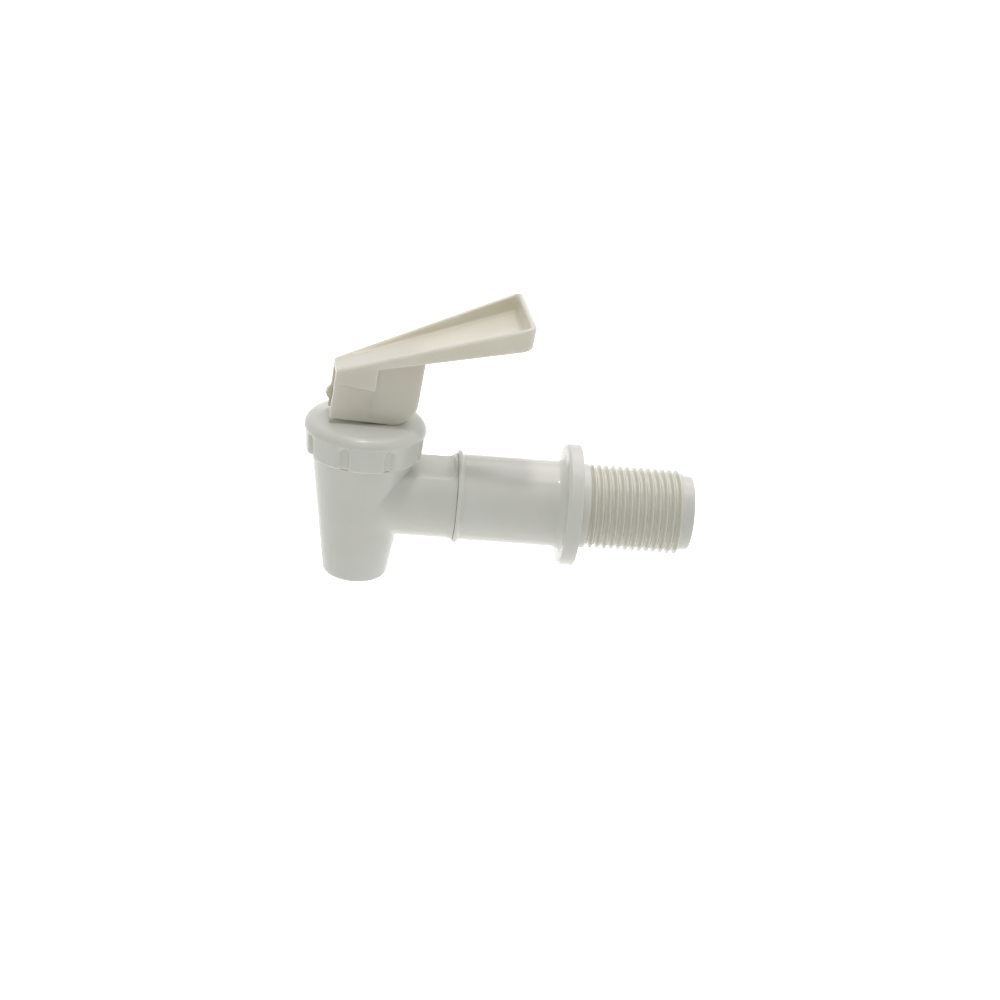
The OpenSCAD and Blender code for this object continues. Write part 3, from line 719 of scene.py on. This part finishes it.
def spout_hollow(x, y, z):
    """The chamber round the seat's lip, the outlet and the waterway, with the shank's socket."""
    radius = np.hypot(x, y)
    wall = np.minimum(spout_r0 + spout_slope * z - CONE_WALL, neck_bore_r)
    chamber = meet(radius - wall, floor_z - z, 0.4)
    lip = meet(np.abs(radius - outlet_r - LIP_WALL) - LIP_WALL, z - seat_z, 0.15)
    lip = meet(lip, floor_z - 1 - z)
    chamber = cut(chamber, lip)
    chamber = join(chamber, meet(radius - outlet_r, z - floor_z - 1))
    round_arm = np.hypot(y, z - arm_z)
    waterway = meet(round_arm - arm_bore_r, -x)
    socket = meet(round_arm - spigot_r - 0.05, shank_low[0] - 0.05 - x)
    return join(join(chamber, waterway, 0.2), socket)


def spout_field(x, y, z):
    """The whole moulding of spout, neck and arm. The crease between them is sharper above."""
    cone = (np.hypot(x, y) - spout_r0 - spout_slope * z) * spout_cosine
    cone = meet(meet(cone, -z, 0.6), z - shoulder, 0.2)
    crease = np.clip(0.25 - 0.08 * (z - arm_z), 0.08, 0.95)
    body = join(np.minimum(cone, neck_field(x, y, z)), arm_field(x, y, z), crease)
    return cut(body, spout_hollow(x, y, z), 0.3)


SPOUT_STEP = 0.28
spout_skin = skin_of(spout_field, spout_low, spout_high, SPOUT_STEP)
spout_and_arm = piece_from("spout_and_arm", *spout_skin, cool_white)

# %% [markdown]
# The lever is one moulding of ivory plastic. Its tray is narrow over the pin and wide at the tip, and
# its thin walls have round tops. Two short cheeks stiffen the narrow end. The hollow base stands on
# the bonnet and carries the pin in two blind sockets. Shallower grooves lead to them, so the lever
# snaps on. A faint step runs down the base's side where two parts of the mould met. The field is
# written about the pin, with x along the lever and the heel at its low end.

# %% The lever's sizes and its tray
HEEL, TIP, BASE_HALF = -8.0, 31.4, 4.0
FLARE = math.atan((12.1 - BASE_HALF) / (TIP - HEEL))
RIM_SLOPE, FLOOR_SLOPE = math.radians(24.86), math.radians(19.85)
FULCRUM_R, FRONT, BOTTOM = 5.5, 10.6, -4.9
TRAY_WALL, FLOOR_THICK, FRONT_WALL, CAVITY_HALF = 1.2, 1.1, 1.5, 2.45
SOCKET_R, SOCKET_HALF, GROOVE_HALF = 1.3, 3.4, 2.9
NUB_R, MOULD_STEP, RIM_ROUND = 1.5, 0.08, 0.66
CHEEK_END, CHEEK_BOTTOM = 0.7, 3.1
LEAN = math.radians(4.8)
lever_turn = math.atan2(-pin_axis.x, pin_axis.y)


def edge_between(a, b, cosine, rounding):
    """What lies inside two flat fields that aren't square to each other, with a rounded edge."""
    a, b = a + rounding, b + rounding
    corner = np.sqrt(np.maximum(a * a + b * b - 2 * a * b * cosine, 0) / (1 - cosine ** 2))
    near = (a > b * cosine) & (b > a * cosine)
    return np.where(near, corner, np.maximum(a, b)) - rounding


def above_slope(x, z, height, slope):
    """How far a point lies above a plane that rises along the lever from a height at the heel."""
    return (z - height - (x - HEEL) * math.tan(slope)) * math.cos(slope)


def tray_field(x, y, z):
    """The tray and the cheeks under its narrow end."""
    side = (np.abs(y) - BASE_HALF - (x - HEEL) * math.tan(FLARE)) * math.cos(FLARE)
    plan = edge_between(side, x - TIP, -math.sin(FLARE), 2.0)
    rim, under = above_slope(x, z, 6.17, RIM_SLOPE), above_slope(x, z, 4.9, FLOOR_SLOPE)
    below = edge_between(x - TIP, -under, math.sin(FLOOR_SLOPE), 1.2)
    tipward = np.clip((x - TIP) / 2.0 + 1, 0, 1)
    shell = meet(edge_between(plan, rim, -math.sin(RIM_SLOPE) * tipward, RIM_ROUND), -under, 0.3)
    shell = np.maximum(shell, below)
    cheek = meet(meet(plan, x - CHEEK_END, 0.2), meet(CHEEK_BOTTOM - z, under - 0.3), 0.2)
    shell = join(shell, cheek, 0.12)
    hollow = meet(side + TRAY_WALL, x - TIP + TRAY_WALL, 0.9)
    hollow = meet(hollow, FLOOR_THICK * math.cos(FLOOR_SLOPE) - under, 0.7)
    return meet(cut(shell, hollow, 0.5), HEEL - x, 0.15)


print("tray:", round(TIP - HEEL, 1), "mm long, turned by", round(math.degrees(lever_turn), 1), "degrees")

# %% [markdown]
# The base is a hollow box with one corner rounded off. That corner rolls on the bonnet when the tray
# is pressed, which lifts the pin and the stem with it. The finished points are leaned back and turned
# as the model's handle is, because the photograph shows the lever resting like that.

# %% The base and the whole lever
def base_field(x, y, z):
    """The base with its rounded fulcrum corner, its mould step and the nub on the far wall."""
    step = MOULD_STEP * np.clip((0.35 - x) / 0.1, 0, 1) * (np.abs(y) > CAVITY_HALF)
    side_view = meet(meet(BOTTOM - z, x - FRONT, FULCRUM_R), HEEL - x, 0.3)
    side_view = meet(side_view, above_slope(x, z, 5.2, FLOOR_SLOPE))
    nub = np.maximum(np.hypot(x - HEEL - 0.65, z + 1.6) - NUB_R, CAVITY_HALF - y)
    return meet(join(side_view, nub, 0.3), np.abs(y) - BASE_HALF - step, 0.35)


def base_hollow(x, y, z):
    """The hollow of the base with the pin's sockets and the grooves that lead to them."""
    inner = meet(BOTTOM + FRONT_WALL - z, x - FRONT + FRONT_WALL, FULCRUM_R - FRONT_WALL)
    inner = join(inner, x - 5.6)
    inner = meet(inner, above_slope(x, z, 4.9, FLOOR_SLOPE), 0.4)
    inner = meet(inner, np.abs(y) - CAVITY_HALF, 0.3)
    socket = meet(np.hypot(x, z) - SOCKET_R, np.abs(y) - SOCKET_HALF, 0.1)
    groove = meet(meet(np.abs(z) - SOCKET_R + 0.2, x), np.abs(y) - GROOVE_HALF, 0.1)
    return join(inner, join(socket, groove))


def lever_field(x, y, z):
    """The whole lever."""
    return cut(join(tray_field(x, y, z), base_field(x, y, z), 0.2), base_hollow(x, y, z), 0.2)


LEVER_STEP = 0.21
lever_points, lever_faces = skin_of(
    lever_field, (HEEL - 0.85, -12.1, BOTTOM), (TIP, 12.1, 24.5), LEVER_STEP)
pose = Matrix.Translation((0, 0, pin_z)) @ Matrix.Rotation(lever_turn, 4, "Z") @ Matrix.Rotation(LEAN, 4, "Y")
spin, shift = np.array(pose.to_3x3()), np.array(pose.translation)
thumb_lever = piece_from("thumb_lever", lever_points @ spin.T + shift, lever_faces, warm_ivory)

# %% [markdown]
# The valve's own parts are small turned shapes. The pin is cut from wire with its ends broken, the
# washer is a plain ring, and the cup hangs by its rim under the bonnet: a thin wall, a thick plug
# that closes on the seat, and a snap-in hole for the stem's button.

# %% The pin, the washer and the cup
pin_r, pin_half = 1.25, 3.35
hinge_pin = turned("hinge_pin", outline([
    (0, -pin_half, 0), (pin_r, -pin_half, 0.2), (pin_r, pin_half, 0.2), (0, pin_half, 0)]), 48, steel)
lay_down = Vector((0, 0, 1)).rotation_difference(pin_axis).to_matrix().to_4x4()
hinge_pin.data.transform(Matrix.Translation((0, 0, pin_z * MM)) @ lay_down)

washer_low, washer_high = box_mm("thrust_washer")
slip_washer = turned("slip_washer", outline([
    (4.0, washer_low[2], 0.1), (washer_high[0], washer_low[2], 0.15),
    (washer_high[0], washer_high[2], 0.15), (4.0, washer_high[2], 0.1)]), 96, acetal)

cup_low, cup_high = box_mm("seat_cup")
collar_low = cup_low[2] + 2.8
rim_under = cup_high[2] - 1
cup_seal = turned("cup_seal", outline([
    (0, cup_low[2], 0), (5.8, cup_low[2], 0.3), (6.6, cup_low[2] + 1.4, 0.4), (6.6, collar_low + 1.6, 0.8),
    (8.2, rim_under - 2, 0.8), (8.2, rim_under, 0.2), (cup_high[0], rim_under, 0.2),
    (cup_high[0], cup_high[2], 0.2), (7.3, cup_high[2], 0.2), (7.3, rim_under - 2, 0.6),
    (5.7, collar_low + 1.6, 0.4), (5.7, collar_low - 0.05, 0.15), (1.25, collar_low - 0.05, 0),
    (1.25, collar_low - 0.55, 0), (2.45, collar_low - 0.55, 0.1), (2.45, collar_low - 1.65, 0.1),
    (0, collar_low - 1.65, 0)]), 96, silicone)

# %% [markdown]
# The spring is a path with a rule, so a tree winds it: a straight line of points is bent into a
# helix. The first and the last turn climb by only one wire thickness, because a real spring's end
# turns lie closed, so that it stands square on the stem's collar. A circle then follows the path as
# the wire.

# %% The tree that winds the spring
def valve_spring_tree():
    """Winds round wire into a compression spring with closed end turns."""
    tree, size = new_tree("valve_spring", ["Wire", "Diameter", "Turns", "Bottom", "Top"])
    do = partial(calc, tree)
    line = add(tree, "GeometryNodeCurvePrimitiveLine")
    steps = do("MULTIPLY", size["Turns"], 40.0)
    path = add(tree, "GeometryNodeResampleCurve", {"Curve": line.outputs[0], "Count": steps})
    along = add(tree, "GeometryNodeSplineParameter").outputs["Factor"]
    turn = do("MULTIPLY", along, size["Turns"])
    low = do("ADD", size["Bottom"], do("MULTIPLY", size["Wire"], 0.5))
    high = do("SUBTRACT", size["Top"], do("MULTIPLY", size["Wire"], 0.5))
    two_wires = do("MULTIPLY", size["Wire"], 2.0)
    free = do("SUBTRACT", do("SUBTRACT", high, low), two_wires)
    first = do("MINIMUM", turn, 1.0)
    before_last = do("SUBTRACT", size["Turns"], 1.0)
    last = do("MAXIMUM", do("SUBTRACT", turn, before_last), 0.0)
    open_turns = do("SUBTRACT", size["Turns"], 2.0)
    middle = do("DIVIDE", do("SUBTRACT", turn, 1.0), open_turns, use_clamp=True)
    closed = do("MULTIPLY", do("ADD", first, last), size["Wire"])
    height = do("ADD", low, do("ADD", closed, do("MULTIPLY", middle, free)))
    angle = do("MULTIPLY", turn, 2 * math.pi)
    radius = do("MULTIPLY", size["Diameter"], 0.5)
    helix = add(tree, "ShaderNodeCombineXYZ", {
        "X": do("MULTIPLY", radius, do("COSINE", angle)),
        "Y": do("MULTIPLY", radius, do("SINE", angle)), "Z": height})
    wound = add(tree, "GeometryNodeSetPosition", {"Geometry": path.outputs[0], "Position": helix.outputs[0]})
    wire = add(tree, "GeometryNodeCurvePrimitiveCircle", {
        "Resolution": 14, "Radius": do("MULTIPLY", size["Wire"], 0.5)})
    coil = add(tree, "GeometryNodeCurveToMesh", {
        "Curve": wound.outputs[0], "Profile Curve": wire.outputs[0], "Fill Caps": True})
    end_tree(tree, coil.outputs[0], size["Material"])
    return tree


# %% [markdown]
# The spring stands between the stem's collar and the washer, as the model's spring does. Eight turns
# of 0.9 mm wire leave room for the stem's lift. The tree makes all of it, so the mesh starts empty.

# %% The valve spring
spring_low, spring_high = box_mm("spring")
WIRE = 0.9
valve_spring = bpy.data.objects.new("valve_spring", bpy.data.meshes.new("valve_spring"))
bpy.context.scene.collection.objects.link(valve_spring)
run_tree(valve_spring, valve_spring_tree(), {
    "Wire": WIRE * MM, "Diameter": 9.8 * MM, "Turns": 8,
    "Bottom": spring_low[2] * MM, "Top": spring_high[2] * MM}, steel)

# %% [markdown]
# The stem stays as the model has it, a turned rod with a collar, a button and the hole for the pin,
# and only needs its material. Every piece then rides on its body, so that it moves with the model:
# the lever tilts about the pin.

# %% Pieces and the bodies they ride on
for material_slot in frame["nodes"]["stem"].material_slots:
    material_slot.material = acetal

RIDES = [
    (spout_and_arm, "fixed", "faucet_body", "body_plastic"),
    (threaded_shank, "fixed", "shank", "body_plastic"),
    (screw_bonnet, "fixed", "bonnet", "body_plastic"),
    (thumb_lever, "lever", "handle", "handle_plastic"),
    (hinge_pin, "plunger", "cross_pin", "pin_steel"),
    (slip_washer, "swivel", "thrust_washer", "stem_plastic"),
    (valve_spring, "swivel", "spring", "spring_steel"),
    (cup_seal, "fixed", "seat_cup", "silicone")]
for piece, body, node, slot in RIDES:
    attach(piece, body)
    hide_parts(node)
for piece, low, high in ((valve_spring, spring_low, spring_high), (cup_seal, cup_low, cup_high)):
    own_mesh(piece)

# %% [markdown]
# The photograph was taken in a white light tent: the object is bright from above, from behind and
# from the white sheet below it, and darker on the side of the lens. The faucet is held by its shank,
# so it floats above the floor. The floor and the world are white to the camera and in reflections,
# while the light that they give is set by itself.

# %% Floor and backdrop
def seen_by_camera(tree):
    """One for rays from the camera and for glossy or see-through rays, and zero for all others."""
    ray = add(tree, "ShaderNodeLightPath").outputs
    either = calc(tree, "MAXIMUM", ray["Is Camera Ray"], ray["Is Glossy Ray"])
    return calc(tree, "MAXIMUM", either, ray["Is Transmission Ray"])


FLOOR_SIDE = 8.0
FLOOR_DROP = 90 * MM
half = FLOOR_SIDE / 2
floor_mesh = bpy.data.meshes.new("floor")
floor_mesh.from_pydata(
    [(x, y, -FLOOR_DROP) for x, y in ((-half, -half), (half, -half), (half, half), (-half, half))],
    [], [(0, 1, 2, 3)])
floor = bpy.data.objects.new("floor", floor_mesh)
bpy.context.scene.collection.objects.link(floor)
paper = bpy.data.materials.new("white_backdrop_paper")
paper.use_nodes = True
paper_tree = paper.node_tree
paper_shader = paper_tree.nodes["Principled BSDF"]
paper_shader.inputs["Base Color"].default_value = linear("#EEEEEC")
paper_shader.inputs["Roughness"].default_value = 0.95
FLOOR_GLOW, FLOOR_SEEN = 0.21, 0.75
shown = add(paper_tree, "ShaderNodeMapRange", {
    "Value": seen_by_camera(paper_tree), "To Min": FLOOR_GLOW, "To Max": FLOOR_SEEN}).outputs["Result"]
glow = add(paper_tree, "ShaderNodeEmission", {"Color": (1, 1, 1, 1), "Strength": shown})
mix = add(paper_tree, "ShaderNodeAddShader", {0: paper_shader.outputs[0], 1: glow.outputs[0]})
paper_tree.links.new(mix.outputs[0], paper_tree.nodes["Material Output"].inputs["Surface"])
floor_mesh.materials.append(paper)

world = bpy.data.worlds.new("light_tent")
bpy.context.scene.world = world
world.use_nodes = True
sky = world.node_tree
direction = add(sky, "ShaderNodeSeparateXYZ", {
    "Vector": add(sky, "ShaderNodeTexCoord").outputs["Generated"]}).outputs
EVEN, BEHIND, LEFT, RIGHT = 0.07, 0.7, 0.47, 0.75
behind = calc(sky, "MULTIPLY", calc(sky, "MAXIMUM", direction["Y"], 0.0), BEHIND)
left = calc(sky, "MULTIPLY", calc(sky, "MAXIMUM", calc(sky, "MULTIPLY", direction["X"], -1.0), 0.0), LEFT)
right_side = calc(sky, "MULTIPLY", calc(sky, "MAXIMUM", direction["X"], 0.0), RIGHT)
tent_light = calc(sky, "ADD", calc(sky, "ADD", EVEN, right_side), calc(sky, "ADD", behind, left))
tent = sky.nodes["Background"]
tent.inputs["Color"].default_value = linear("#F4F6F4")
sky.links.new(tent_light, tent.inputs["Strength"])
white = add(sky, "ShaderNodeBackground", {"Color": (1, 1, 1, 1), "Strength": 1.0})
sky_mix = add(sky, "ShaderNodeMixShader", {0: seen_by_camera(sky), 1: tent.outputs[0], 2: white.outputs[0]})
sky.links.new(sky_mix.outputs[0], sky.nodes["World Output"].inputs["Surface"])
print("floor", FLOOR_SIDE, "m wide,", FLOOR_DROP, "m below the outlet")

# %% [markdown]
# Three soft lamps shape the object: a large one overhead and a little behind, which lights the tops,
# a fainter one to the upper front, and a small bright one straight above. Worked back from where they
# lie, the short highlights on the bonnet's shoulder and the flange all mirror that small lamp.

# %% Lamps
def soft_lamp(name, place, aim, side, watts, colour):
    """A square area lamp in metres, turned towards a point."""
    data = bpy.data.lights.new(name, "AREA")
    data.size = side
    data.energy = watts
    data.color = linear(colour)[:3]
    lamp = bpy.data.objects.new(name, data)
    lamp.location = place
    lamp.rotation_euler = (Vector(aim) - Vector(place)).to_track_quat("-Z", "Y").to_euler()
    bpy.context.scene.collection.objects.link(lamp)
    return lamp


middle = (0.03, 0, 0.025)
soft_lamp("overhead_softbox", (0.18, 0.25, 0.75), middle, 0.7, 2.6, "#FFF6FB")
soft_lamp("front_lamp", (-0.15, -0.55, 0.75), middle, 0.5, 0.85, "#FFFFFF")
soft_lamp("overhead_lamp", (-0.03, -0.05, 0.75), middle, 0.06, 1.0, "#FFFFFF")

# %% [markdown]
# The view is shown as it is calculated, with no film look.

# %% Finish
bpy.context.scene.view_settings.view_transform = "Standard"
